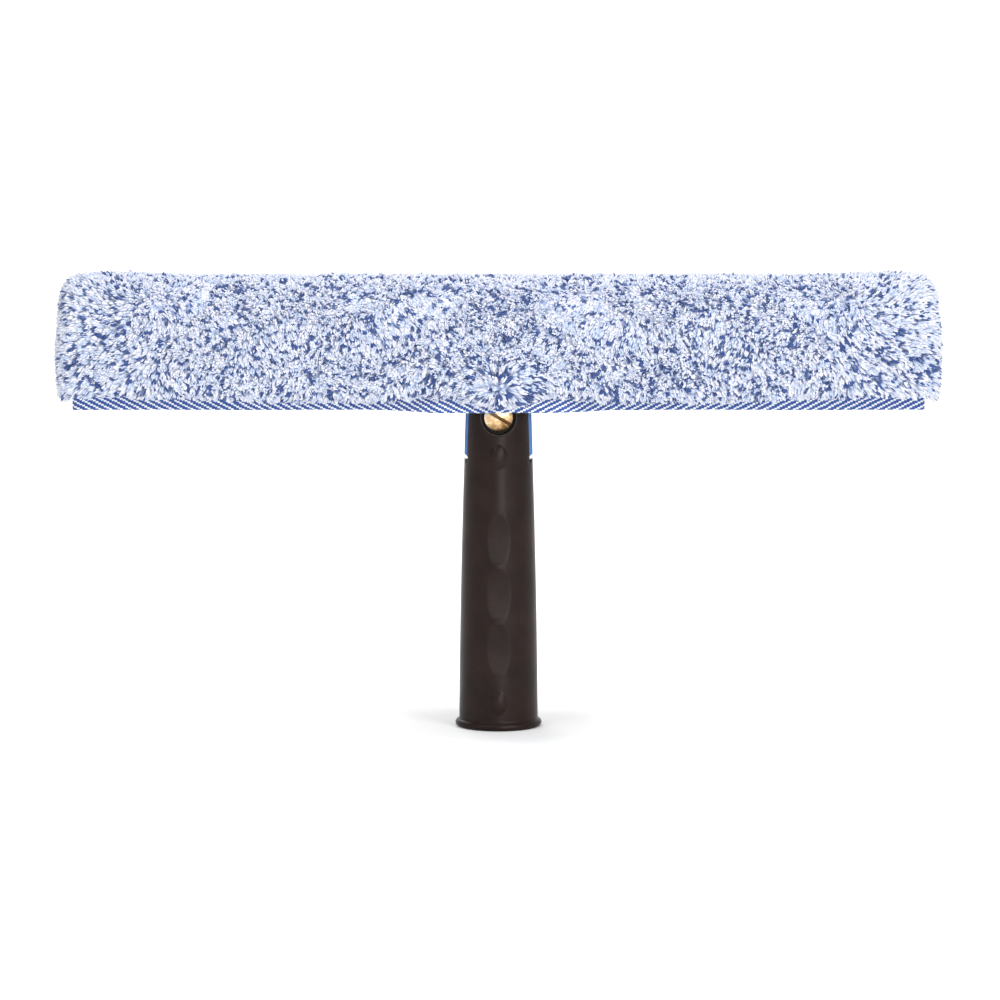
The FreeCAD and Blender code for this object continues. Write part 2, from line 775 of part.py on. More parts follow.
def hem_section(body, label, place, foot_y, side):
    """Cross-section of a hem: an upright lip of cloth and a slope up to the base cloth's edge."""
    made = sketch(body, label, "YZ_Plane", place)
    top = cloth_edge_height - cloth_gap
    lip_top = hem_foot + hem_lip
    outer_foot = (foot_y + cloth) * side
    inner_foot = foot_y * side
    points = [
        (inner_foot, hem_foot),
        (outer_foot, hem_foot),
        (outer_foot, lip_top),
        (cloth_half_depth * side, top),
        ((cloth_half_depth - cloth) * side, top),
        (inner_foot, lip_top + hem_thickening),
    ]
    outline(made, points)
    return made


def make_hem(label, side):
    """Pile-free twill edge: joined under the bar at both ends, and parted round the neck."""
    body = new_body(label)
    joined = strip_thickness + strip_gap * 2
    parted = cloth_half_depth - cloth
    stations = [
        (-cloth_half_length, joined),
        (-hem_join_half, joined),
        (-neck_opening_half, parted),
        (neck_opening_half, parted),
        (hem_join_half, joined),
        (cloth_half_length, joined),
    ]
    sections = [
        hem_section(body, f"{label}_section{i}", place, foot_y, side)
        for i, (place, foot_y) in enumerate(stations)
    ]
    loft = body.newObject("PartDesign::AdditiveLoft", f"{label}_loft")
    loft.Profile = sections[0]
    loft.Sections = sections[1:]
    loft.Ruled = True
    return body


def make_strip(label, side, layer):
    """One strip of the hook-and-loop closing. layer is 1 in front of the sleeve's middle and -1 behind."""
    made = doc.addObject("Part::Box", label)
    made.Label = label
    bind(made, "Length", strip_end - strip_start)
    bind(made, "Width", strip_thickness)
    bind(made, "Height", strip_height)
    low_x = strip_start if side > 0 else -strip_end
    low_y = -strip_thickness - strip_gap if layer > 0 else strip_gap
    low_z = hem_foot + strip_lift
    made.Placement = FreeCAD.Placement(V(low_x.value, low_y.value, low_z.value), FreeCAD.Rotation())
    made.setExpression("Placement.Base.x", low_x.text)
    made.setExpression("Placement.Base.y", low_y.text)
    made.setExpression("Placement.Base.z", low_z.text)
    return made


# ---------------------------------------------------------------- assembly
doc.recompute()
friction_foot = hub_half + stack_gap
shank_clear = shank_radius + washer_clearance
friction_rear = -friction_foot - friction_washer_thickness
pieces = [
    make_core(),
    make_grip(),
    make_pivot_screw(),
    make_ring("flat_washer", shank_clear, washer_radius, washer_foot, washer_thickness - stack_gap),
    make_spring_washer(),
    make_pivot_nut(),
    make_ring(
        "friction_washer_front",
        shank_clear,
        friction_washer_radius,
        friction_foot,
        friction_washer_thickness,
    ),
    make_ring(
        "friction_washer_rear",
        shank_clear,
        friction_washer_radius,
        friction_rear,
        friction_washer_thickness,
    ),
    make_ring("hub_bush", shank_radius + running_gap, bush_radius, -hub_half, hub_half * 2),
    make_hub(),
    make_arm("crossbar_arm_left", -1),
    make_arm("crossbar_arm_right", 1),
    make_end_cap("end_cap_left", -1),
    make_end_cap("end_cap_right", 1),
    make_arm_screws(),
    make_backing(),
    make_pile(),
    make_hem("hem_front", -1),
    make_hem("hem_rear", 1),
    make_end_panel("end_panel_left", -1),
    make_end_panel("end_panel_right", 1),
]
for side_name, side in (("left", -1), ("right", 1)):
    pieces.append(make_strip(f"loop_strip_{side_name}", side, 1))
    pieces.append(make_strip(f"hook_strip_{side_name}", side, -1))
doc.recompute()

for item in doc.Objects:
    if "Invalid" in item.State or "Error" in item.State:
        raise RuntimeError(f"{item.Label} failed: {item.State}")
for piece in pieces:
    if piece.Shape.isNull() or not piece.Shape.isValid():
        raise RuntimeError(f"{piece.Label} has no valid shape")

os.makedirs("parts", exist_ok=True)
for piece in pieces:
    piece.Shape.exportStep(f"parts/{piece.Label}.step")
    box = piece.Shape.BoundBox
    print(f"{piece.Label}: {box.XLength:.1f} x {box.YLength:.1f} x {box.ZLength:.1f} mm, "
          f"{piece.Shape.Volume:.0f} mm3, {len(piece.Shape.Solids)} solid(s)")
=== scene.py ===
"""Looks of a swivel window washer: moulded handle, brass pivot screw and a pile sleeve over the crossbar."""

import json
import logging
import math
from dataclasses import dataclass, field
from enum import Enum
from functools import partial
from typing import Any, Callable

import bmesh
import bpy
import numpy as np
from bmesh.types import BMesh, BMVert
from bpy.types import Collection, Material, Node, NodeSocket, NodeTree, Object
from mathutils import Matrix, Vector

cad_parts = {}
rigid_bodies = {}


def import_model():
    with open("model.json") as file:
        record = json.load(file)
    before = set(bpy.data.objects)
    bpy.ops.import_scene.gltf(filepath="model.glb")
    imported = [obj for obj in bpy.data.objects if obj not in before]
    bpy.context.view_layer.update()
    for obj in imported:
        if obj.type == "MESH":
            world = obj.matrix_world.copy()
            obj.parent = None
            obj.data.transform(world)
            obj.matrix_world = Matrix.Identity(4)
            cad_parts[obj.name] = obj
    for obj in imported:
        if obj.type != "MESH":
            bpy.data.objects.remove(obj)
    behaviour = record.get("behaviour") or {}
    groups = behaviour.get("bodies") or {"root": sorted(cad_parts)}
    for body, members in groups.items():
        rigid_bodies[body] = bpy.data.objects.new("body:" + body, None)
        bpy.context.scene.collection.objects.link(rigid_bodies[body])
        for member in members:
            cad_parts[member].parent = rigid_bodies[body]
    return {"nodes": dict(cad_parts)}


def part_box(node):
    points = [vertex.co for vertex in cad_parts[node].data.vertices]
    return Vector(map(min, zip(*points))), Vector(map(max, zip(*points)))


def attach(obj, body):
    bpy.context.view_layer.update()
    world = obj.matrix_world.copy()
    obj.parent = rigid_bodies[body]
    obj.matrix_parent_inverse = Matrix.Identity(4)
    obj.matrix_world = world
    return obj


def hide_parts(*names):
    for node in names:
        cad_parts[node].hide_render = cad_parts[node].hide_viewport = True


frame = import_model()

MM = 0.001
SEED = 41
MERGE = 0.01  # points nearer than this, in millimetres, are one
WAVE_SCALE = 0.314  # a wave texture at this scale has one band for each unit of length
LOG = logging.getLogger("window_washer")
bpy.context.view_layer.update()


# ---- shared helpers
class Colour(Enum):
    """The object's colours, as sRGB hex."""

    GRIP = "19100E"
    GRIP_WORN = "261A17"
    # painted highlight along the edge of the screw's counterbore
    GRIP_EDGE_HIGHLIGHT = "5E5652"
    CORE = "0F0E0E"
    CORE_DARK = "0A0909"
    BLUE = "3F6DA6"
    BLUE_DEEP = "345E94"
    BRASS = "D2B084"
    # stains and painted shade on the brass
    BRASS_STAINED_AND_SHADED = "7C5A30"
    # painted highlight on the turned metal
    BRASS_PAINTED_HIGHLIGHT = "FBEFD6"
    # painted shade in the screw's driver slot
    SLOT_PAINTED_SHADE = "3A2615"
    ZINC = "B9B7B0"
    # stains and painted shade on the zinc
    ZINC_STAINED_AND_SHADED = "7E7C76"
    ACETAL = "E6E4DC"
    ACETAL_DARK = "D4D1C6"
    BOARD = "A08A66"
    BOARD_DARK = "7F6B4C"
    FIBRE_WHITE = "DBDDE7"
    FIBRE_PALE = "A3B2D2"
    FIBRE_BLUE = "334A80"
    # painted glow of the pile's fibres
    FIBRE_PAINTED_GLOW = "A3B4DA"
    PALE_TIP = "C6CFE2"
    PALE_BODY = "B6C3DC"
    # painted shade: the pale strands' depth tint towards the root
    PALE_ROOT_SHADE = "93A6CC"
    BLUE_BODY = "354E88"
    # painted shade: the blue strands' light-blue depth tint towards the root
    BLUE_ROOT_SHADE = "6982B8"
    CLOTH = "DCE2EE"
    CLOTH_SHADE = "B4BCCC"
    TAPE = "E4E6EA"
    TAPE_SHADE = "A9AEB8"
    TAPE_BLUE = "365190"
    FLOOR = "F7F7F7"
    FLOOR_DULL = "F5F5F5"
    # painted shadow on the floor round where the object stands
    FLOOR_PAINTED_SHADOW = "DADADA"
    LIGHT = "FFFFFF"


class Kind(Enum):
    """The kinds of node in the finishes and in the planting of the pile."""

    ATTRIBUTE = "ShaderNodeAttribute"
    BEVEL = "ShaderNodeBevel"
    BUMP = "ShaderNodeBump"
    COORDINATES = "ShaderNodeTexCoord"
    MAPPING = "ShaderNodeMapping"
    MATH = "ShaderNodeMath"
    MIX = "ShaderNodeMix"
    NOISE = "ShaderNodeTexNoise"
    RAMP = "ShaderNodeValToRGB"
    RANGE = "ShaderNodeMapRange"
    SPLIT = "ShaderNodeSeparateXYZ"
    UV = "ShaderNodeUVMap"
    VECTOR = "ShaderNodeVectorMath"
    VORONOI = "ShaderNodeTexVoronoi"
    WAVE = "ShaderNodeTexWave"
    GROUP_IN = "NodeGroupInput"
    GROUP_OUT = "NodeGroupOutput"
    COLLECTION = "GeometryNodeCollectionInfo"
    NAMED = "GeometryNodeInputNamedAttribute"
    PLANT = "GeometryNodeInstanceOnPoints"
    REALIZE = "GeometryNodeRealizeInstances"


def linear(colour: Colour) -> tuple[float, float, float, float]:
    """Turns an sRGB hex colour into linear light.

    Args:
        colour: the colour.

    Returns:
        Red, green, blue and alpha in linear light.
    """
    parts = [int(colour.value[i:i + 2], 16) / 255 for i in (0, 2, 4)]
    light = [c / 12.92 if c <= 0.04045 else ((c + 0.055) / 1.055) ** 2.4 for c in parts]
    return light[0], light[1], light[2], 1.0


def connect(node: Node, links: dict[Any, Any]) -> None:
    """Fills a node's inputs with colours, values or links.

    Args:
        node: the node.
        links: input name or number, to a colour, a value, a socket, or a node for its first live output.
    """
    for key, source in links.items():
        if isinstance(source, Node):
            source = next(socket for socket in source.outputs if socket.enabled)
        if isinstance(source, NodeSocket):
            node.id_data.links.new(source, node.inputs[key])
        else:
            node.inputs[key].default_value = linear(source) if isinstance(source, Colour) else source


def add_node(
    tree: NodeTree,
    kind: Kind,
    links: dict[Any, Any] | None = None,
    stops: tuple[tuple[float, Colour], ...] = (),
    **settings: Any,
) -> Node:
    """Adds a node with its settings, its inputs and, on a colour ramp, its colours.

    Args:
        tree: the node tree to add to.
        kind: the kind of node.
        links: its inputs, as connect takes them.
        stops: places and colours along a colour ramp.
        **settings: the node's own properties.

    Returns:
        The new node.
    """
    node = tree.nodes.new(kind.value)
    for name, value in settings.items():
        setattr(node, name, value)
    connect(node, links or {})
    if stops:
        first, *middle, last = stops
        elements = node.color_ramp.elements
        for element, (place, colour) in zip(elements, (first, last)):
            element.position = place
            element.color = linear(colour)
        for place, colour in middle:
            elements.new(place).color = linear(colour)
    return node


def between(value: Any, old: tuple[float, float], new: tuple[float, float]) -> dict[str, Any]:
    """Inputs that carry a value from its old range to a new one."""
    return {"Value": value, "From Min": old[0], "From Max": old[1], "To Min": new[0], "To Max": new[1]}


def ease(low: float, high: float, value: Any) -> Any:
    """Smooth step from 0 at low to 1 at high, for a number or an array."""
    share = np.clip((value - low) / (high - low), 0.0, 1.0)
    return share * share * (3 - 2 * share)


def make_piece(name: str, mesh: BMesh, finish: Material, home: Collection | None = None) -> Object:
    """Turns a finished bmesh into a smooth object at the origin.

    Args:
        name: the piece's name.
        mesh: the bmesh, which is freed.
        finish: its material.
        home: the collection to put it in, if not the scene's own.

    Returns:
        The new object.
    """
    data = bpy.data.meshes.new(name)
    for face in mesh.faces:
        face.smooth = True
    mesh.to_mesh(data)
    mesh.free()
    data.materials.append(finish)
    piece = bpy.data.objects.new(name, data)
    (home or bpy.context.scene.collection).objects.link(piece)
    return piece


def sheet_mesh(
    columns: int, rows: int, place: Callable[[float, float], Vector], flat: tuple[float, float]
) -> BMesh:
    """Bends a flat grid into a sheet and keeps its flat coordinates, in millimetres, as its UV map.

    Args:
        columns: faces along the sheet.
        rows: faces across the sheet.
        place: gives the point for a share along, -1 to 1, and a share across, -1 to 1.
        flat: the sheet's cut length and width in millimetres.

    Returns:
        The bmesh.
    """
    mesh = bmesh.new()
    bmesh.ops.create_grid(mesh, x_segments=columns, y_segments=rows, size=1)
    layer = mesh.loops.layers.uv.new("cut")
    for face in mesh.faces:
        for loop in face.loops:
            at = loop.vert.co
            loop[layer].uv = (at.x * flat[0] / 2, at.y * flat[1] / 2)
    for vert in mesh.verts:
        vert.co = place(vert.co.x, vert.co.y)
    return mesh


def thicken(piece: Object, depth: float) -> None:
    """Gives a sheet its thickness, half to each side, and rounds it with one subdivision.

    Args:
        piece: the sheet.
        depth: its thickness in metres.
    """
    solid = piece.modifiers.new("thickness", "SOLIDIFY")
    solid.thickness = depth
    solid.offset = 0.0
    round_off = piece.modifiers.new("softness", "SUBSURF")
    round_off.render_levels = 1


# ---- finishes
@dataclass(frozen=True)
class Finish:
    """A material with a principled shader, whose patterns run in millimetres."""

    name: str

    def start(self, constants: dict[str, Any]) -> tuple[Material, Callable[..., Node], Node, Node]:
        """Makes the material with its constant sockets set.

        Args:
            constants: the shader's inputs that don't vary.

        Returns:
            The material, a function that adds a node to it, its shader, and the place in millimetres.
        """
        material = bpy.data.materials.new(self.name)
        material.use_nodes = True
        add = partial(add_node, material.node_tree)
        shader = material.node_tree.nodes["Principled BSDF"]
        connect(shader, constants)
        place = add(Kind.COORDINATES).outputs["Object"]
        at = add(Kind.MAPPING, {"Vector": place, "Scale": (1 / MM,) * 3})
        return material, add, shader, at


@dataclass(frozen=True)
class SparkedElastomer(Finish):
    """Thermoplastic elastomer from a spark-eroded mould: a soft, matt skin with worn patches and a painted
    highlight along the screw's counterbore.
    """

    grit: float = 0.42  # the real grit is 0.05 mm, which is too fine to show
    patch: float = 14.0
    pivot_height: float = 128.0
    bore: float = 7.1  # radius of the screw's counterbore
    rim_highlight_width: float = 0.3  # width of the painted highlight along the counterbore's edge
    softened: float = 1.4  # radius that the mould leaves along the edges of the finger waves

    def build(self) -> Material:
        """Makes the material.

        Returns:
            The material.
        """
        constants = {
            "IOR": 1.5,
            "Specular IOR Level": 0.03,
            "Coat Weight": 0.2,
            "Coat Roughness": 0.33,
            "Coat IOR": 1.5,
        }
        material, add, shader, at = self.start(constants)
        patch = {"Vector": at, "Scale": 1 / self.patch, "Detail": 5.0, "Roughness": 0.6}
        patches = add(Kind.NOISE, patch)
        skin = add(Kind.RAMP, {"Fac": patches}, ((0.35, Colour.GRIP), (0.72, Colour.GRIP_WORN)))
        # painted highlight: a lighter ring along the counterbore's edge
        pivot = {"Vector": at, "Location": (0, 0, -self.pivot_height), "Scale": (1, 0, 1)}
        reach = add(Kind.VECTOR, {0: add(Kind.MAPPING, pivot)}, operation="LENGTH")
        away = add(Kind.MATH, {0: reach, 1: self.bore}, operation="SUBTRACT")
        off = add(Kind.MATH, {0: away}, operation="ABSOLUTE")
        edge = add(Kind.RANGE, between(off, (0.0, self.rim_highlight_width), (0.6, 0.0)))
        rim_highlight_paint = {"Factor": edge, "A": skin, "B": Colour.GRIP_EDGE_HIGHLIGHT}
        grit = {"Vector": at, "Scale": 1 / self.grit, "Detail": 3.0, "Roughness": 0.62}
        soft = add(Kind.BEVEL, {"Radius": self.softened * MM}, samples=8)
        fine = add(Kind.NOISE, grit)
        sparks = {"Height": fine, "Distance": 0.06 * MM, "Strength": 0.7, "Normal": soft}
        relief = add(Kind.BUMP, sparks)
        surface = {
            "Base Color": add(Kind.MIX, rim_highlight_paint, data_type="RGBA"),
            "Roughness": add(Kind.RANGE, between(patches, (0.3, 0.7), (0.38, 0.28))),
            "Normal": relief,
            "Coat Normal": relief,
        }
        connect(shader, surface)
        return material


@dataclass(frozen=True)
class MouldedPlastic(Finish):
    """Injection-moulded plastic: even colour, faint flow marks and the satin of a lightly blasted mould."""

    light: Colour = Colour.BLUE
    dark: Colour = Colour.BLUE_DEEP
    shine: tuple[float, float] = (0.34, 0.46)
    ior: float = 1.49
    flow: float = 9.0
    blast: float = 0.35  # a real blasted mould's grain is under 0.1 mm, which is too fine to show

    def build(self) -> Material:
        """Makes the material.

        Returns:
            The material.
        """
        material, add, shader, at = self.start({"IOR": self.ior})
        stretched = add(Kind.MAPPING, {"Vector": at, "Scale": (0.25, 1.0, 1.0)})
        marks = {"Vector": stretched, "Scale": 1 / self.flow, "Detail": 4.0, "Roughness": 0.55}
        flow = add(Kind.NOISE, marks)
        blast = add(Kind.NOISE, {"Vector": at, "Scale": 1 / self.blast})
        surface = {
            "Base Color": add(Kind.RAMP, {"Fac": flow}, ((0.3, self.dark), (0.7, self.light))),
            "Roughness": add(Kind.RANGE, between(flow, (0.3, 0.7), self.shine)),
            "Normal": add(Kind.BUMP, {"Height": blast, "Distance": 0.02 * MM, "Strength": 0.5}),
        }
        connect(shader, surface)
        return material


@dataclass(frozen=True)
class TurnedMetal(Finish):
    """Turned metal: fine rings from the cutting tool about the pivot's axis, with stains, a painted
    highlight towards its upper left and painted shade towards its lower right.
    """

    bright: Colour = Colour.BRASS
    stained_and_shaded: Colour = Colour.BRASS_STAINED_AND_SHADED
    axis_height: float = 128.0
    ring: float = 0.42  # a real tool mark is 0.1 mm, which is too fine to show
    stain: float = 2.6
    scuff: float = 0.5
    painted_light_over: float = 6.0  # painted light: the colour runs from painted shade to painted highlight over this distance each way
    painted_light_by: float = 0.34
    slot_angle: float = 0.0
    slot_half: float = 0.0  # half width of a driver's slot that gets painted shade, if there is one
    slot_edge: float = 0.12

    def build(self) -> Material:
        """Makes the material.

        Returns:
            The material.
        """
        material, add, shader, at = self.start({"Metallic": 1.0})
        place = add(Kind.MAPPING, {"Vector": at, "Location": (0, 0, -self.axis_height)})
        turned = {"Vector": place, "Scale": WAVE_SCALE / self.ring, "Distortion": 0.4, "Detail": 2.0}
        rings = add(Kind.WAVE, turned, wave_type="RINGS", rings_direction="Y")
        spots = {"Vector": at, "Scale": 1 / self.stain, "Detail": 6.0, "Roughness": 0.65}
        stain = add(Kind.NOISE, spots)
        # painted light: brighter towards the upper left and darker towards the lower right, added to the
        # stains
        slope = add(Kind.VECTOR, {0: place, 1: (-0.6, 0.0, 0.8)}, operation="DOT_PRODUCT")
        over = (-self.painted_light_over, self.painted_light_over)
        painted_light = add(Kind.RANGE, between(slope, over, (-self.painted_light_by, self.painted_light_by)))
        tone = add(Kind.MATH, {0: stain, 1: painted_light}, operation="ADD")
        stops = ((0.18, self.stained_and_shaded), (0.48, self.bright), (0.8, Colour.BRASS_PAINTED_HIGHLIGHT))
        colour = add(Kind.RAMP, {"Fac": tone}, stops)
        if self.slot_half:
            colour = self._paint_slot_shade(add, place, colour)
        scuffs = add(Kind.NOISE, {"Vector": at, "Scale": 1 / self.scuff, "Detail": 4.0})
        cut = {"Height": rings.outputs["Fac"], "Distance": 0.02 * MM, "Strength": 0.8}
        under = add(Kind.BUMP, cut)
        worn = {"Height": scuffs, "Distance": 0.03 * MM, "Strength": 0.35, "Normal": under}
        surface = {
            "Base Color": colour,
            "Roughness": add(Kind.RANGE, between(stain, (0.3, 0.7), (0.36, 0.2))),
            "Normal": add(Kind.BUMP, worn),
        }
        connect(shader, surface)
        return material

    def _paint_slot_shade(self, add: Callable[..., Node], place: Node, colour: Node) -> Node:
        """Paints shade into the driver's slot.

        Args:
            add: adds a node.
            place: coordinates from the pivot's axis, in millimetres.
            colour: the clean metal's colour.

        Returns:
            The colour with the painted shade in the slot.
        """
        angle = math.radians(self.slot_angle)
        across = (math.sin(angle), 0.0, math.cos(angle))
        off = add(Kind.VECTOR, {0: place, 1: across}, operation="DOT_PRODUCT")
        away = add(Kind.MATH, {0: off}, operation="ABSOLUTE")
        inside = between(away, (self.slot_half, self.slot_half + self.slot_edge), (0.92, 0.0))
        # painted shade: dark across the width of the slot
        slot_shade = {"Factor": add(Kind.RANGE, inside), "A": colour, "B": Colour.SLOT_PAINTED_SHADE}
        return add(Kind.MIX, slot_shade, data_type="RGBA")


@dataclass(frozen=True)
class PileYarn(Finish):
    """Split microfibre yarn: matt and soft, with painted shade, a light-blue tint, towards the root and
    uneven from strand to strand.
    """

    tip: Colour = Colour.FIBRE_WHITE
    body: Colour = Colour.FIBRE_WHITE
    # painted shade: the light-blue tint that the strands take towards the root
    root: Colour = Colour.FIBRE_PALE
    sheen: float = 0.2
    painted_glow: float = 0.045  # painted glow: an emission that stands in for light the translucent fibres pass on and lifts the shade between the strands
    fuzz: float = 0.25

    def build(self) -> Material:
        """Makes the material.

        Returns:
            The material.
        """
        constants = {
            "Roughness": 0.82,
            "IOR": 1.45,
            "Specular IOR Level": 0.2,
            "Sheen Weight": self.sheen,
            "Sheen Roughness": 0.5,
            "Emission Color": Colour.FIBRE_PAINTED_GLOW,
            "Emission Strength": self.painted_glow,
        }
        material, add, shader, at = self.start(constants)
        along = add(Kind.ATTRIBUTE, attribute_name="along").outputs["Fac"]
        strand = add(Kind.ATTRIBUTE, attribute_name="strand").outputs["Fac"]
        # painted shade: the strands are tinted light blue towards the root
        stops = ((0.15, self.root), (0.55, self.body), (1.0, self.tip))
        length = add(Kind.RAMP, {"Fac": along}, stops)
        pale = add(Kind.RANGE, between(strand, (0.55, 1.0), (0.0, 0.4)))
        mixed = {"Factor": pale, "A": length, "B": Colour.FIBRE_PALE}
        fuzz = add(Kind.NOISE, {"Vector": at, "Scale": 1 / self.fuzz})
        surface = {
            "Base Color": add(Kind.MIX, mixed, data_type="RGBA"),
            "Normal": add(Kind.BUMP, {"Height": fuzz, "Distance": 0.05 * MM, "Strength": 0.5}),
        }
        connect(shader, surface)
        return material


@dataclass(frozen=True)
class PileGround(Finish):
    """The depth of the pile under its tips: white, pale and blue yarn in soft shadow."""

    # painted glow: an emission that lifts the shade in the pile's depth
    painted_glow: float = 0.06
    tuft: float = 1.5

    def build(self) -> Material:
        """Makes the material.

        Returns:
            The material.
        """
        constants = {
            "Roughness": 0.9,
            "Specular IOR Level": 0.1,
            "Emission Color": Colour.FIBRE_PAINTED_GLOW,
            "Emission Strength": self.painted_glow,
        }
        material, add, shader, at = self.start(constants)
        tufts = add(Kind.VORONOI, {"Vector": at, "Scale": 1 / self.tuft})
        stops = ((0.2, Colour.FIBRE_BLUE), (0.34, Colour.FIBRE_PALE), (0.6, Colour.FIBRE_WHITE))
        surface = {
            "Base Color": add(Kind.RAMP, {"Fac": tufts.outputs["Color"]}, stops),
            "Normal": add(Kind.BUMP, {"Height": tufts, "Distance": 0.8 * MM, "Strength": 0.8}),
        }
        connect(shader, surface)
        return material


@dataclass(frozen=True)
class TwillTape(Finish):
    """Twill weave of blue and white yarn: stepped diagonal ribs that slant down to the sleeve's middle."""

    rib: float = 2.4  # from one rib to the next, measured up the cloth
    slope: float = 0.58
    yarn: float = 1.1
    wobble: float = 0.22
    drift: float = 2.4

    def build(self) -> Material:
        """Makes the material.

        Returns:
            The material.
        """
        constants = {
            "Roughness": 0.8,
            "Specular IOR Level": 0.25,
            "Sheen Weight": 0.25,
            "Sheen Roughness": 0.5,
        }
        material, add, shader, at = self.start(constants)
        cut = add(Kind.UV, uv_map="cut")
        split = add(Kind.SPLIT, {"Vector": cut})
        drift = add(Kind.NOISE, {"Vector": at, "Scale": 1 / self.drift, "Detail": 3.0})
        wobble = add(Kind.RANGE, between(drift, (0.3, 0.7), (-self.wobble, self.wobble)))
        side = add(Kind.MATH, {0: split.outputs["X"]}, operation="ABSOLUTE")
        step = add(Kind.MATH, {0: side, 1: self.yarn}, operation="SNAP")
        slant = {0: step, 1: -self.slope, 2: split.outputs["Y"]}
        height = add(Kind.MATH, slant, operation="MULTIPLY_ADD")
        moved = add(Kind.MATH, {0: height, 1: wobble}, operation="ADD")
        cycle = add(Kind.MATH, {0: moved, 1: 2 * math.pi / self.rib}, operation="MULTIPLY")
        ribs = add(Kind.MATH, {0: cycle}, operation="SINE")
        share = add(Kind.RANGE, between(ribs, (-1.0, 1.0), (0.0, 1.0)))
        stops = ((0.64, Colour.TAPE_BLUE), (0.74, Colour.FIBRE_PALE), (0.88, Colour.TAPE))
        across = add(Kind.MATH, {0: side, 1: 2 * math.pi / self.yarn}, operation="MULTIPLY")
        thread = add(Kind.MATH, {0: across}, operation="SINE")
        under = add(Kind.BUMP, {"Height": thread, "Distance": 0.08 * MM, "Strength": 0.7})
        over = {"Height": ribs, "Distance": 0.12 * MM, "Strength": 0.8, "Normal": under}
        surface = {
            "Base Color": add(Kind.RAMP, {"Fac": share}, stops),
            "Normal": add(Kind.BUMP, over),
        }
        connect(shader, surface)
        return material


@dataclass(frozen=True)
class WovenCloth(Finish):
    """Plain-woven polyester: an even square weave, matt and pale."""

    pitch: float = 0.7  # real threads lie 0.3 mm apart, which is too fine to show

    def build(self) -> Material:
        """Makes the material.

        Returns:
            The material.
        """
        constants = {"Roughness": 0.85, "Specular IOR Level": 0.2, "Sheen Weight": 0.3}
        material, add, shader, at = self.start(constants)
        threads = {"Vector": at, "Scale": WAVE_SCALE / self.pitch, "Distortion": 0.6, "Detail": 1.0}
        warp = add(Kind.WAVE, threads, bands_direction="X").outputs["Fac"]
        weft = add(Kind.WAVE, threads, bands_direction="Z").outputs["Fac"]
        weave = add(Kind.MATH, {0: warp, 1: weft}, operation="MULTIPLY")
        stops = ((0.0, Colour.CLOTH_SHADE), (0.6, Colour.CLOTH))
        surface = {
            "Base Color": add(Kind.RAMP, {"Fac": weave}, stops),
            "Normal": add(Kind.BUMP, {"Height": weave, "Distance": 0.12 * MM, "Strength": 0.8}),
        }
        connect(shader, surface)
        return material


@dataclass(frozen=True)
class FibrousTape(Finish):
    """Hook or loop tape: rows of fine nylon hooks, or a fleece of loops, on a pale woven strip."""

    spacing: float = 1.1
    loose: float = 1.0

    def build(self) -> Material:
        """Makes the material.

        Returns:
            The material.
        """
        material, add, shader, at = self.start({"Roughness": 0.6, "IOR": 1.53, "Sheen Weight": 0.3})
        rows = {"Vector": at, "Scale": 1 / self.spacing, "Randomness": self.loose}
        cells = add(Kind.VORONOI, rows)
        stops = ((0.0, Colour.TAPE), (0.7, Colour.TAPE_SHADE))
        raised = {"Height": cells, "Distance": 0.4 * MM, "Strength": 0.9}
        surface = {
            "Base Color": add(Kind.RAMP, {"Fac": cells}, stops),
            "Normal": add(Kind.BUMP, raised, invert=True),
        }
        connect(shader, surface)
        return material


@dataclass(frozen=True)
class PaintedFloor(Finish):
    """White studio floor, lit a little from behind, with a painted shadow where the object stands."""

    backlight: float = 0.1
    cloud: float = 400.0
    painted_shadow_reach: tuple[float, float] = (35.0, 90.0)  # the painted shadow's inner and outer reach from the middle

    def build(self) -> Material:
        """Makes the material.

        Returns:
            The material.
        """
        constants = {
            "Roughness": 0.9,
            "Specular IOR Level": 0.1,
            "Emission Color": Colour.LIGHT,
            "Emission Strength": self.backlight,
        }
        material, add, shader, at = self.start(constants)
        clouds = add(Kind.NOISE, {"Vector": at, "Scale": 1 / self.cloud})
        tone = add(Kind.RAMP, {"Fac": clouds}, ((0.3, Colour.FLOOR_DULL), (0.7, Colour.FLOOR)))
        # painted shadow: the floor is darker round where the object stands
        reach = add(Kind.VECTOR, {0: at}, operation="LENGTH")
        painted_shadow_share = add(Kind.RANGE, between(reach, self.painted_shadow_reach, (1.0, 0.0)))
        shadow_paint = {"Factor": painted_shadow_share, "A": tone, "B": Colour.FLOOR_PAINTED_SHADOW}
        connect(shader, {"Base Color": add(Kind.MIX, shadow_paint, data_type="RGBA")})
        return material


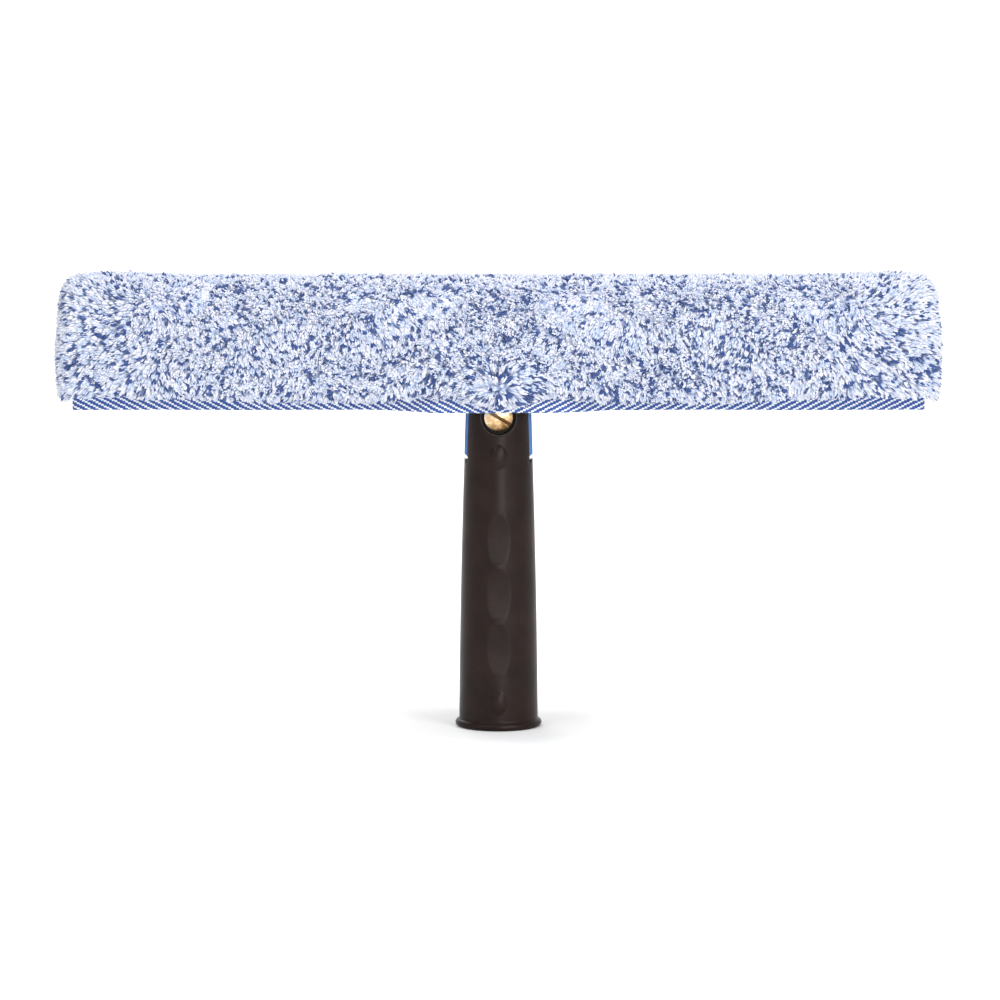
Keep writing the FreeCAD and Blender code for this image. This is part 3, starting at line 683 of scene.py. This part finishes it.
# ---- hard parts
@dataclass
class HardParts:
    """Every rigid part keeps its exact shape, and gets the finish it is made in."""

    def dress(self, finish: Finish, *nodes: str) -> None:
        """Puts one finish on several parts.

        Args:
            finish: the finish.
            *nodes: the parts' names.
        """
        material = finish.build()
        for name in nodes:
            materials = frame["nodes"][name].data.materials
            materials.clear()
            materials.append(material)
            LOG.info("dressed %s in %s", name, finish.name)

    def build(self) -> None:
        """Dresses the handle, the pivot's hardware and the crossbar."""
        self.dress(SparkedElastomer("sparked elastomer"), "handle_grip")
        nylon = MouldedPlastic("glass-filled nylon", Colour.CORE, Colour.CORE_DARK, (0.5, 0.6), 1.3)
        self.dress(nylon, "handle_core")
        self.dress(TurnedMetal("turned brass", slot_angle=31.0, slot_half=0.66), "pivot_screw")
        self.dress(TurnedMetal("milled brass"), "pivot_nut")
        zinc = TurnedMetal("zinc-plated steel", Colour.ZINC, Colour.ZINC_STAINED_AND_SHADED, ring=0.5)
        self.dress(zinc, "flat_washer", "spring_washer", "arm_screws")
        washer = MouldedPlastic("pressed fibre board", Colour.BOARD, Colour.BOARD_DARK, (0.7, 0.85), 1.5)
        self.dress(washer, "friction_washer_front", "friction_washer_rear")
        acetal = MouldedPlastic("moulded acetal", Colour.ACETAL, Colour.ACETAL_DARK, (0.3, 0.4), 1.48)
        self.dress(acetal, "hub_bush")
        arms = ("crossbar_arm_left", "crossbar_arm_right")
        caps = ("end_cap_left", "end_cap_right")
        self.dress(MouldedPlastic("moulded polypropylene"), "swivel_hub", *arms, *caps)
        self.dress(FibrousTape("loop tape", 0.8, 1.0), "loop_strip_left", "loop_strip_right")
        self.dress(FibrousTape("hook tape", 1.2, 0.15), "hook_strip_left", "hook_strip_right")


# ---- sleeve
@dataclass(frozen=True)
class Arch:
    """An upright arch across the sleeve, in millimetres: turned-in feet, straight sides and a half round."""

    half_depth: float
    centre: float
    foot: float
    turn: float = 0.0

    @property
    def length(self) -> float:
        """Length of the arch from foot to foot."""
        side = self.centre - self.foot - self.turn
        return 2 * side + math.pi * (self.half_depth + self.turn)

    def at(self, share: float, drop: float = 0.0) -> Vector:
        """Point (0, y, z) of the arch.

        Args:
            share: place along the arch, from -1 at the front foot to 1 at the rear foot.
            drop: how much lower than usual the feet hang.

        Returns:
            The point, in millimetres.
        """
        foot = self.foot - drop
        side = self.centre - foot - self.turn
        corner = math.pi / 2 * self.turn
        half = side + corner + math.pi / 2 * self.half_depth
        left = half * (1 - abs(share))
        if left < corner:
            angle = left / self.turn
            depth = self.half_depth - self.turn * (1 - math.sin(angle))
            height = foot + self.turn * (1 - math.cos(angle))
        elif left < corner + side:
            depth = self.half_depth
            height = foot + self.turn + left - corner
        else:
            angle = (left - corner - side) / self.half_depth
            depth = self.half_depth * math.cos(angle)
            height = self.centre + self.half_depth * math.sin(angle)
        return Vector((0, math.copysign(depth, share), height))


@dataclass
class Backing:
    """Base cloth: one sheet over the crossbar and a panel at each end."""

    arch: Arch = Arch(14.5, 161.3, 140.8)
    half_length: float = 171.0
    cloth: float = 1.0
    panel_cloth: float = 0.8
    panel_cut: float = 30.0
    panel_bulge: float = 0.6
    panel_fill: float = 0.88  # share of its rectangle that the arched panel fills

    def build(self) -> None:
        """Makes the sheet over the crossbar and the two panels."""
        finish = WovenCloth("woven polyester").build()

        def place(u: float, v: float) -> Vector:
            """Lays a point of the flat cloth over the arch."""
            return (self.arch.at(v) + Vector((u * self.half_length, 0, 0))) * MM

        flat = (self.half_length * 2, self.arch.length)
        piece = make_piece("base_cloth", sheet_mesh(60, 36, place, flat), finish)
        thicken(piece, self.cloth * MM)
        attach(piece, "t_bar")
        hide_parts("sleeve_backing")
        for side, node in ((-1, "end_panel_left"), (1, "end_panel_right")):
            self._panel(side, node, finish)

    def _panel(self, side: int, node: str, finish: Material) -> None:
        """Makes the cloth panel that closes one end.

        Args:
            side: -1 for the left end, 1 for the right.
            node: the part it stands for.
            finish: the cloth's material.
        """
        low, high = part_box(node)
        middle = (low.x + high.x) / 2 / MM

        def place(u: float, v: float) -> Vector:
            """Fills the arch with a flat panel, which bulges a little.

            Args:
                u: share along the arch, -1 to 1.
                v: share across, from 1 at the foot's middle to -1 at the arch.

            Returns:
                The point, in metres.
            """
            share = (1 - v) / 2
            point = Vector((0, 0, low.z / MM)).lerp(self.arch.at(u), share)
            point.x = middle + side * self.panel_bulge * (1 - share * share)
            return point * MM

        mesh = sheet_mesh(36, 8, place, (self.arch.length, self.panel_cut))
        bmesh.ops.remove_doubles(mesh, verts=mesh.verts, dist=MERGE * MM)
        bmesh.ops.recalc_face_normals(mesh, faces=mesh.faces)
        piece = make_piece(node.replace("panel", "cloth"), mesh, finish)
        thicken(piece, self.panel_cloth * MM)
        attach(piece, "t_bar")
        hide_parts(node)


@dataclass
class Hem:
    """Pile-free twill edge: joined with its partner under the bar, and parted round the neck."""

    side: int
    node: str
    half_length: float = 173.5
    neck: float = 21.0
    joined_from: float = 50.0
    thickness: float = 1.2
    top: float = 140.4
    foot: float = 130.1
    lip: float = 6.2
    lip_share: float = 0.36
    parted: float = 14.5
    joined: float = 2.15
    width: float = 19.0
    ripple: tuple[float, float] = (0.35, 0.083)  # height, and radians for each millimetre
    pucker: tuple[float, float] = (0.2, 0.31)
    held: float = 0.25  # share of the ripple that shows at the foot
    tuck: float = 0.1  # how far the hem's top stands out from its parted foot

    def _section(self, along: float, up: float) -> Vector:
        """Point of the hem's middle surface.

        Args:
            along: distance along the sleeve in millimetres.
            up: 0 at the foot to 1 at the base cloth.

        Returns:
            The point, in millimetres.
        """
        joined = float(ease(self.neck, self.joined_from, abs(along)))
        foot = self.parted + (self.joined - self.parted) * joined
        ripple = self.ripple[0] * math.sin(along * self.ripple[1] + 0.7)
        ripple += self.pucker[0] * math.sin(along * self.pucker[1])
        if up < self.lip_share:
            share = up / self.lip_share
            depth = foot + self.held * joined * ripple * (1 - share)
            height = self.foot + share * self.lip + self.held * ripple * (1 - share)
        else:
            share = (up - self.lip_share) / (1 - self.lip_share)
            depth = foot + (self.parted + self.tuck - foot) * share ** 0.85
            height = self.foot + self.lip + (self.top - self.foot - self.lip) * share ** 1.25
        return Vector((along, depth * self.side, height))

    def build(self) -> None:
        """Makes the hem."""

        def place(u: float, v: float) -> Vector:
            """Bends the flat tape into the hem."""
            return self._section(u * self.half_length, (v + 1) / 2) * MM

        mesh = sheet_mesh(220, 14, place, (self.half_length * 2, self.width))
        bmesh.ops.recalc_face_normals(mesh, faces=mesh.faces)
        piece = make_piece(f"twill_{self.node}", mesh, TwillTape("twill tape").build())
        thicken(piece, self.thickness * MM)
        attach(piece, "t_bar")
        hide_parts(self.node)


@dataclass
class Tuft:
    """A tuft of tapered strands, planted many times. It stands on its root, along +Z, and droops to +X."""

    strands: int = 4
    length: float = 4.1
    thickness: float = 0.5
    spread: float = 0.33
    fan: float = 0.1
    droop: float = 0.24
    stem: float = 0.84  # share of a strand below its point
    taper: float = 0.92

    def build(self, name: str, finish: Material, home: Collection, rng: np.random.Generator) -> None:
        """Makes one tuft.

        Args:
            name: the tuft's name.
            finish: its yarn.
            home: the collection to put it in.
            rng: source of its variation.
        """
        mesh = bmesh.new()
        along = mesh.verts.layers.float.new("along")
        strand = mesh.verts.layers.float.new("strand")
        for _ in range(self.strands):
            shade = float(rng.random())
            for vert in self._strand(mesh, rng):
                vert[strand] = shade
        for vert in mesh.verts:
            share = vert.co.z / (self.length * MM)
            vert[along] = min(max(share, 0.0), 1.0)
            vert.co.x += self.droop * self.length * MM * share * share
        make_piece(name, mesh, finish, home)

    def _strand(self, mesh: BMesh, rng: np.random.Generator) -> list[BMVert]:
        """Adds one strand: a three-sided stem that ends in a point.

        Args:
            mesh: the tuft's mesh.
            rng: source of its variation.

        Returns:
            The strand's vertices.
        """
        length = self.length * MM * rng.uniform(0.8, 1.1)
        radius = self.thickness * MM * rng.uniform(0.8, 1.2)
        stem = length * self.stem
        made = bmesh.ops.create_cone(
            mesh,
            cap_ends=True,
            segments=3,
            radius1=radius,
            radius2=radius * self.taper,
            depth=stem,
            matrix=Matrix.Translation((0, 0, stem / 2)) @ Matrix.Rotation(rng.uniform(0, 2), 4, "Z"),
        )
        verts = made["verts"]
        top = max((f for v in verts for f in v.link_faces), key=lambda f: f.calc_center_median().z)
        poked = bmesh.ops.poke(mesh, faces=[top])
        poked["verts"][0].co.z = length
        verts = verts + poked["verts"]
        lean = Matrix.Rotation(rng.normal(0, self.fan), 4, "X")
        lean = lean @ Matrix.Rotation(rng.normal(0, self.fan), 4, "Y")
        shift = Matrix.Translation((*rng.normal(0, self.spread, 2) * MM, 0))
        bmesh.ops.transform(mesh, matrix=shift @ lean, verts=verts)
        return verts


class Yarn(Enum):
    """The pile's three yarns, in the order in which its tufts are numbered."""

    WHITE = 0
    PALE = 1
    BLUE = 2


@dataclass
class Pile:
    """The pile: a dense ground and tens of thousands of tufts planted over it."""

    arch: Arch = Arch(21.1, 162.7, 138.9, 4.5)
    flat_half: float = 167.5
    end_round: float = 8.0
    count: int = 30000
    variants: int = 4
    blocks: int = 10
    root_depth: float = 1.2
    neck_height: float = 139.5
    neck_reach: float = 17.0
    clumps: float = 0.1
    flat_share: float = 0.86  # share of the ground's length that is straight
    end_sink: float = 1.5
    overhang: tuple[float, float] = (2.2, 3.0)  # how far it hangs over the hem beside and at the neck
    thickness: float = 1.6
    splayed: tuple[float, float] = (120.0, 172.0)  # distance along where the splay starts and ends
    crown: tuple[float, float] = (138.0, 182.0)  # heights between which the tufts stand up
    shaded: tuple[float, float] = (140.0, 176.0)  # heights between which the extra blue thins out
    top: tuple[float, float] = (0.6, 0.95)  # upward slopes between which the side becomes the top

    def _drop(self, along: float) -> float:
        """How far the pile's lower edge hangs over the hem.

        Args:
            along: distance along the sleeve in millimetres.

        Returns:
            The overhang in millimetres.
        """
        away = abs(along)
        beside = float(ease(30.0, 46.0, away) * (1 - ease(84.0, 135.0, away)))
        neck = float(1 - ease(8.0, 19.0, away))
        return self.overhang[0] * beside + self.overhang[1] * neck

    def _place(self, u: float, v: float) -> Vector:
        """Point of the ground's skin, whose ends close in a quarter round.

        Args:
            u: share along, -1 to 1.
            v: share round the arch, -1 to 1.

        Returns:
            The point, in metres.
        """
        if abs(u) <= self.flat_share:
            along = u / self.flat_share * self.flat_half
            point = self.arch.at(v, self._drop(along))
            point.x = along
            return point * MM
        angle = (abs(u) - self.flat_share) / (1 - self.flat_share) * math.pi / 2
        shrink = max(math.cos(angle), 0.0) ** 0.36
        middle = Vector((0, 0, self.arch.foot - self.end_sink))
        point = middle.lerp(self.arch.at(v), shrink)
        point.x = math.copysign(self.flat_half + self.end_round * math.sin(angle) ** 0.8, u)
        return point * MM

    def _ground(self) -> Object:
        """Makes the ground of the pile.

        Returns:
            The ground.
        """
        mesh = sheet_mesh(150, 44, self._place, (350.0, self.arch.length))
        bmesh.ops.remove_doubles(mesh, verts=mesh.verts, dist=MERGE * MM)
        bmesh.ops.recalc_face_normals(mesh, faces=mesh.faces)
        piece = make_piece("pile_ground", mesh, PileGround("dense pile").build())
        solid = piece.modifiers.new("thickness", "SOLIDIFY")
        solid.thickness = self.thickness * MM
        solid.offset = -1.0
        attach(piece, "t_bar")
        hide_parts("sleeve_pile")
        return piece

    def _roots(self, ground: Object, rng: np.random.Generator) -> tuple[np.ndarray, np.ndarray]:
        """Spreads the tufts' roots evenly over the ground.

        Args:
            ground: the ground of the pile.
            rng: source of the jitter.

        Returns:
            Root points and the outward directions there.
        """
        data = ground.data
        data.calc_loop_triangles()
        corners = np.array([t.vertices[:] for t in data.loop_triangles])
        points = np.array([v.co[:] for v in data.vertices])
        normals = np.array([v.normal[:] for v in data.vertices])
        a, b, c = (points[corners[:, i]] for i in range(3))
        areas = np.linalg.norm(np.cross(b - a, c - a), axis=1)
        total = np.cumsum(areas)
        picks = (np.arange(self.count) + rng.random(self.count)) / self.count * total[-1]
        faces = np.searchsorted(total, picks).clip(0, len(corners) - 1)
        weights = rng.dirichlet((1.0, 1.0, 1.0), self.count)[:, :, None]
        chosen = corners[faces]
        roots = (points[chosen] * weights).sum(axis=1)
        outward = (normals[chosen] * weights).sum(axis=1)
        outward /= np.linalg.norm(outward, axis=1, keepdims=True)
        if float((outward * (roots - points.mean(axis=0))).sum()) < 0:
            outward = -outward
        return roots - outward * self.root_depth * MM, outward

    def _lean(self, roots: np.ndarray, outward: np.ndarray, rng: np.random.Generator) -> np.ndarray:
        """Which way the tufts lie: out at the ends, fanned at the neck, upright on top, combed elsewhere.

        Args:
            roots: the root points, in metres.
            outward: the outward directions.
            rng: source of the unevenness.

        Returns:
            A lean vector for each tuft.
        """
        x, z = roots[:, 0] / MM, roots[:, 2] / MM
        away = np.abs(x)
        up = ease(*self.crown, z)
        splayed = ease(*self.splayed, away)
        swirl = 1.5 * (np.sin(away * 0.131 + 1.3 * np.sin(z * 0.11)) + np.sin(away * 0.053 + z * 0.19 + 2.0))
        out = 0.3 * np.cos(swirl) - 0.3 * up + 0.95 * splayed
        rise = 0.26 * np.sin(swirl) - 0.12 - 0.38 * up + splayed * (z - 156.0) / 30.0
        height = z - self.neck_height
        reach = np.sqrt(x * x + height * height) + 1e-6
        fan = np.exp(-((reach / self.neck_reach) ** 2))
        splay = ease(0.0, 5.0, reach)
        out = out * (1 - fan) + fan * splay * away / reach
        rise = rise * (1 - fan) + fan * splay * height / reach
        lean = np.stack([out * np.sign(x), np.zeros_like(x), rise], axis=1)
        inner = 1 - ease(150.0, self.splayed[1], away[:, None])
        upright = 1 - 0.75 * ease(*self.top, outward[:, 2:]) * inner
        return lean * upright + rng.normal(0, 0.17, lean.shape)

    def _yarns(self, roots: np.ndarray, rng: np.random.Generator) -> np.ndarray:
        """Which yarn each tuft is: small flecks of blue, closer together lower down.

        Args:
            roots: the root points, in metres.
            rng: source of the mixing.

        Returns:
            The yarn's number for each tuft.
        """
        x, y, z = (roots[:, i] / MM for i in range(3))
        fleck = np.sin(x * 1.1 + 2.1 * np.sin(z * 0.7)) * np.sin(z * 1.3 + y * 0.9 + 1.7 * np.sin(x * 0.43))
        drift = np.sin(x * 0.21 + 0.9 * np.sin(z * 0.23)) * np.sin(z * 0.33 + x * 0.07)
        low = 1 - ease(*self.shaded, z)
        beside = np.exp(-(((np.abs(x) - 11.0) / 5.0) ** 2) - ((z - 145.0) / 4.5) ** 2)
        blue = 0.22 + 0.08 * low + 0.1 * fleck + 0.09 * drift + 0.3 * beside
        draw = rng.random(len(x))
        yarns = np.full(len(x), Yarn.WHITE.value)
        yarns[draw < blue + 0.2] = Yarn.PALE.value
        yarns[draw < blue] = Yarn.BLUE.value
        return yarns

    def _turns(self, outward: np.ndarray, lean: np.ndarray) -> np.ndarray:
        """Turns each tuft to stand along its outward direction plus its lean, drooping the way it leans.

        Args:
            outward: the outward directions.
            lean: the lean vectors.

        Returns:
            Euler angles, one row for each tuft.
        """
        up = outward * 0.75 + lean
        up /= np.linalg.norm(up, axis=1, keepdims=True)
        droop = lean + np.array([0.0, 0.0, -0.3])
        droop -= up * (droop * up).sum(axis=1, keepdims=True)
        droop /= np.linalg.norm(droop, axis=1, keepdims=True) + 1e-9
        side = np.cross(up, droop)
        frames = np.stack([droop, side, up], axis=2)
        return np.array([Matrix(f.tolist()).to_euler()[:] for f in frames])

    def _planting(self, tufts: Collection) -> NodeTree:
        """Node group that sets a tuft on every point of a mesh, by the point's own attributes.

        Args:
            tufts: the tufts to choose from.

        Returns:
            The node group.
        """
        tree = bpy.data.node_groups.new("planting", "GeometryNodeTree")
        for way in ("INPUT", "OUTPUT"):
            tree.interface.new_socket("Geometry", in_out=way, socket_type="NodeSocketGeometry")
        add = partial(add_node, tree)
        whole = {"Collection": tufts, "Separate Children": True, "Reset Children": True}
        planting = {
            "Points": add(Kind.GROUP_IN),
            "Instance": add(Kind.COLLECTION, whole),
            "Pick Instance": True,
            "Instance Index": add(Kind.NAMED, {"Name": "kind"}, data_type="INT"),
            "Rotation": add(Kind.NAMED, {"Name": "turn"}, data_type="FLOAT_VECTOR"),
            "Scale": add(Kind.NAMED, {"Name": "size"}, data_type="FLOAT_VECTOR"),
        }
        real = add(Kind.REALIZE, {"Geometry": add(Kind.PLANT, planting)})
        add(Kind.GROUP_OUT, {"Geometry": real})
        return tree

    def _plant(self, name: str, tree: NodeTree, places: np.ndarray, marks: dict[str, Any]) -> None:
        """Plants one block of the pile and applies it.

        Args:
            name: the block's name.
            tree: the planting node group.
            places: the root points.
            marks: attribute name to (type, values).
        """
        bed = bpy.data.meshes.new(f"{name}_bed")
        bed.vertices.add(len(places))
        bed.vertices.foreach_set("co", places.astype(np.float32).ravel())
        for mark, (kind, values) in marks.items():
            layer = bed.attributes.new(mark, kind, "POINT")
            layer.data.foreach_set("value" if kind == "INT" else "vector", values.ravel())
        planter = bpy.data.objects.new(f"{name}_planter", bed)
        bpy.context.scene.collection.objects.link(planter)
        planter.modifiers.new("planting", "NODES").node_group = tree
        graph = bpy.context.evaluated_depsgraph_get()
        data = bpy.data.meshes.new_from_object(planter.evaluated_get(graph), depsgraph=graph)
        bpy.data.objects.remove(planter)
        for mark in (*marks, "position_offset"):
            if mark in data.attributes:
                data.attributes.remove(data.attributes[mark])
        piece = bpy.data.objects.new(name, data)
        bpy.context.scene.collection.objects.link(piece)
        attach(piece, "t_bar")

    def _templates(self, rng: np.random.Generator) -> Collection:
        """Makes the tufts to choose from, a few shapes in each yarn.

        Args:
            rng: source of their variation.

        Returns:
            The collection that holds them.
        """
        pale = (Colour.PALE_TIP, Colour.PALE_BODY, Colour.PALE_ROOT_SHADE)
        blue = (Colour.FIBRE_BLUE, Colour.BLUE_BODY, Colour.BLUE_ROOT_SHADE)
        yarns = {
            Yarn.WHITE: PileYarn("white microfibre"),
            Yarn.PALE: PileYarn("pale blue microfibre", *pale),
            Yarn.BLUE: PileYarn("blue microfibre", *blue, sheen=0.1),
        }
        tufts = bpy.data.collections.new("tufts")
        for yarn, finish in yarns.items():
            material = finish.build()
            for variant in range(self.variants):
                name = f"tuft_{yarn.value * self.variants + variant:02d}"
                Tuft().build(name, material, tufts, rng)
        return tufts

    def build(self) -> None:
        """Makes the ground and plants the pile."""
        rng = np.random.default_rng(SEED)
        ground = self._ground()
        roots, outward = self._roots(ground, rng)
        lean = self._lean(roots, outward, rng)
        turns = self._turns(outward, lean)
        kinds = self._yarns(roots, rng) * self.variants + rng.integers(0, self.variants, len(roots))
        longer = 1 + 0.3 * ease(*self.splayed, np.abs(roots[:, 0] / MM))
        longer -= 0.2 * ease(*self.top, outward[:, 2])
        from_neck = np.hypot(roots[:, 0] / MM, roots[:, 2] / MM - self.neck_height)
        fanned = np.exp(-((from_neck / self.neck_reach) ** 2)) * (outward[:, 1] < 0)
        longer += 0.45 * fanned
        thick = rng.uniform(0.85, 1.2, len(roots)) * (1 + 0.25 * fanned)
        clumped = rng.random(len(roots)) < self.clumps
        thick[clumped] *= 1.5
        long = longer * rng.uniform(0.85, 1.1, len(roots))
        sizes = np.stack([thick, thick, long], axis=1)
        tufts = self._templates(rng)
        tree = self._planting(tufts)
        order = np.argsort(roots[:, 0], kind="stable")
        for number, chosen in enumerate(np.array_split(order, self.blocks), start=1):
            marks = {
                "kind": ("INT", kinds[chosen].astype(np.int32)),
                "turn": ("FLOAT_VECTOR", turns[chosen].astype(np.float32)),
                "size": ("FLOAT_VECTOR", sizes[chosen].astype(np.float32)),
            }
            self._plant(f"pile_{number:02d}", tree, roots[chosen], marks)
            LOG.info("planted pile_%02d with %d tufts", number, len(chosen))
        bpy.data.node_groups.remove(tree)
        for tuft in list(tufts.objects):
            bpy.data.objects.remove(tuft)
        bpy.data.collections.remove(tufts)


@dataclass
class Sleeve:
    """The whole sleeve: base cloth, twill hems and pile."""

    def build(self) -> None:
        """Makes the sleeve's pieces in order, from the crossbar outwards."""
        Backing().build()
        LOG.info("made the base cloth")
        for side, node in ((-1, "hem_front"), (1, "hem_rear")):
            Hem(side, node).build()
            LOG.info("made %s", node)
        Pile().build()


# ---- studio
@dataclass
class Studio:
    """Pale sweep, soft lamps and the camera."""

    distance: float = 2.2
    elevation: float = 6.9
    lens: float = 194.0
    aim: Vector = field(default_factory=lambda: Vector((0.0006, 0.0, 0.0930)))
    floor_half: float = 14.0
    wall: float = 3.0
    wall_height: float = 4.0
    bend: float = 1.6
    room_light: float = 0.58

    def _sweep(self) -> None:
        """Makes the floor, which curves up behind into a wall."""
        mesh = bmesh.new()
        bmesh.ops.create_grid(mesh, x_segments=1, y_segments=1, size=self.floor_half)
        bmesh.ops.translate(mesh, vec=(0, self.wall - self.floor_half, 0), verts=mesh.verts)
        back = [e for e in mesh.edges if all(v.co.y > self.wall - 0.1 for v in e.verts)]
        wall = bmesh.ops.extrude_edge_only(mesh, edges=back)
        raised = [v for v in wall["geom"] if isinstance(v, BMVert)]
        bmesh.ops.translate(mesh, vec=(0, 0, self.wall_height), verts=raised)
        bmesh.ops.bevel(
            mesh, geom=back, offset=self.bend, segments=24, profile=0.5, affect="EDGES", material=-1
        )
        floor = make_piece("studio_floor", mesh, PaintedFloor("studio white").build())

    def _lamp(self, name: str, place: tuple[float, float, float], size: float, power: float) -> None:
        """Hangs a square soft lamp, turned to the object.

        Args:
            name: the lamp's name.
            place: where it hangs, in metres.
            size: its side, in metres.
            power: its power, in watts.
        """
        data = bpy.data.lights.new(name, "AREA")
        data.size = size
        data.energy = power
        lamp = bpy.data.objects.new(name, data)
        lamp.location = place
        lamp.rotation_euler = (self.aim - Vector(place)).to_track_quat("-Z", "Y").to_euler()
        bpy.context.scene.collection.objects.link(lamp)

    def build(self) -> None:
        """Makes the sweep, the lamps, the room's light and the camera."""
        self._sweep()
        self._lamp("key", (1.3, -1.7, 1.0), 0.8, 25.0)
        self._lamp("fill", (-1.4, -1.5, 1.5), 1.2, 15.0)
        self._lamp("top", (0.0, 0.0, 2.2), 1.6, 22.0)
        self._lamp("front", (0.4, -2.0, 0.25), 0.3, 11.0)
        self._lamp("rear", (-0.5, 1.6, 1.3), 1.0, 13.0)
        world = bpy.data.worlds.new("studio room")
        world.use_nodes = True
        connect(world.node_tree.nodes["Background"], {"Color": Colour.LIGHT, "Strength": self.room_light})
        scene = bpy.context.scene
        scene.world = world
        scene.view_settings.view_transform = "Standard"
        angle = math.radians(self.elevation)
        back = Vector((0, -math.cos(angle), math.sin(angle)))
        camera = bpy.data.objects.new("camera", bpy.data.cameras.new("camera"))
        camera.data.lens = self.lens
        camera.data.clip_end = 50.0
        camera.location = self.aim + back * self.distance
        camera.rotation_euler = (-back).to_track_quat("-Z", "Y").to_euler()
        scene.collection.objects.link(camera)
        scene.camera = camera
        LOG.info("made the studio")


def main() -> None:
    """Builds everything in order."""
    logging.basicConfig(level=logging.INFO, format="%(message)s")
    Studio().build()
    HardParts().build()
    Sleeve().build()


if __name__ == "__main__":
    main()
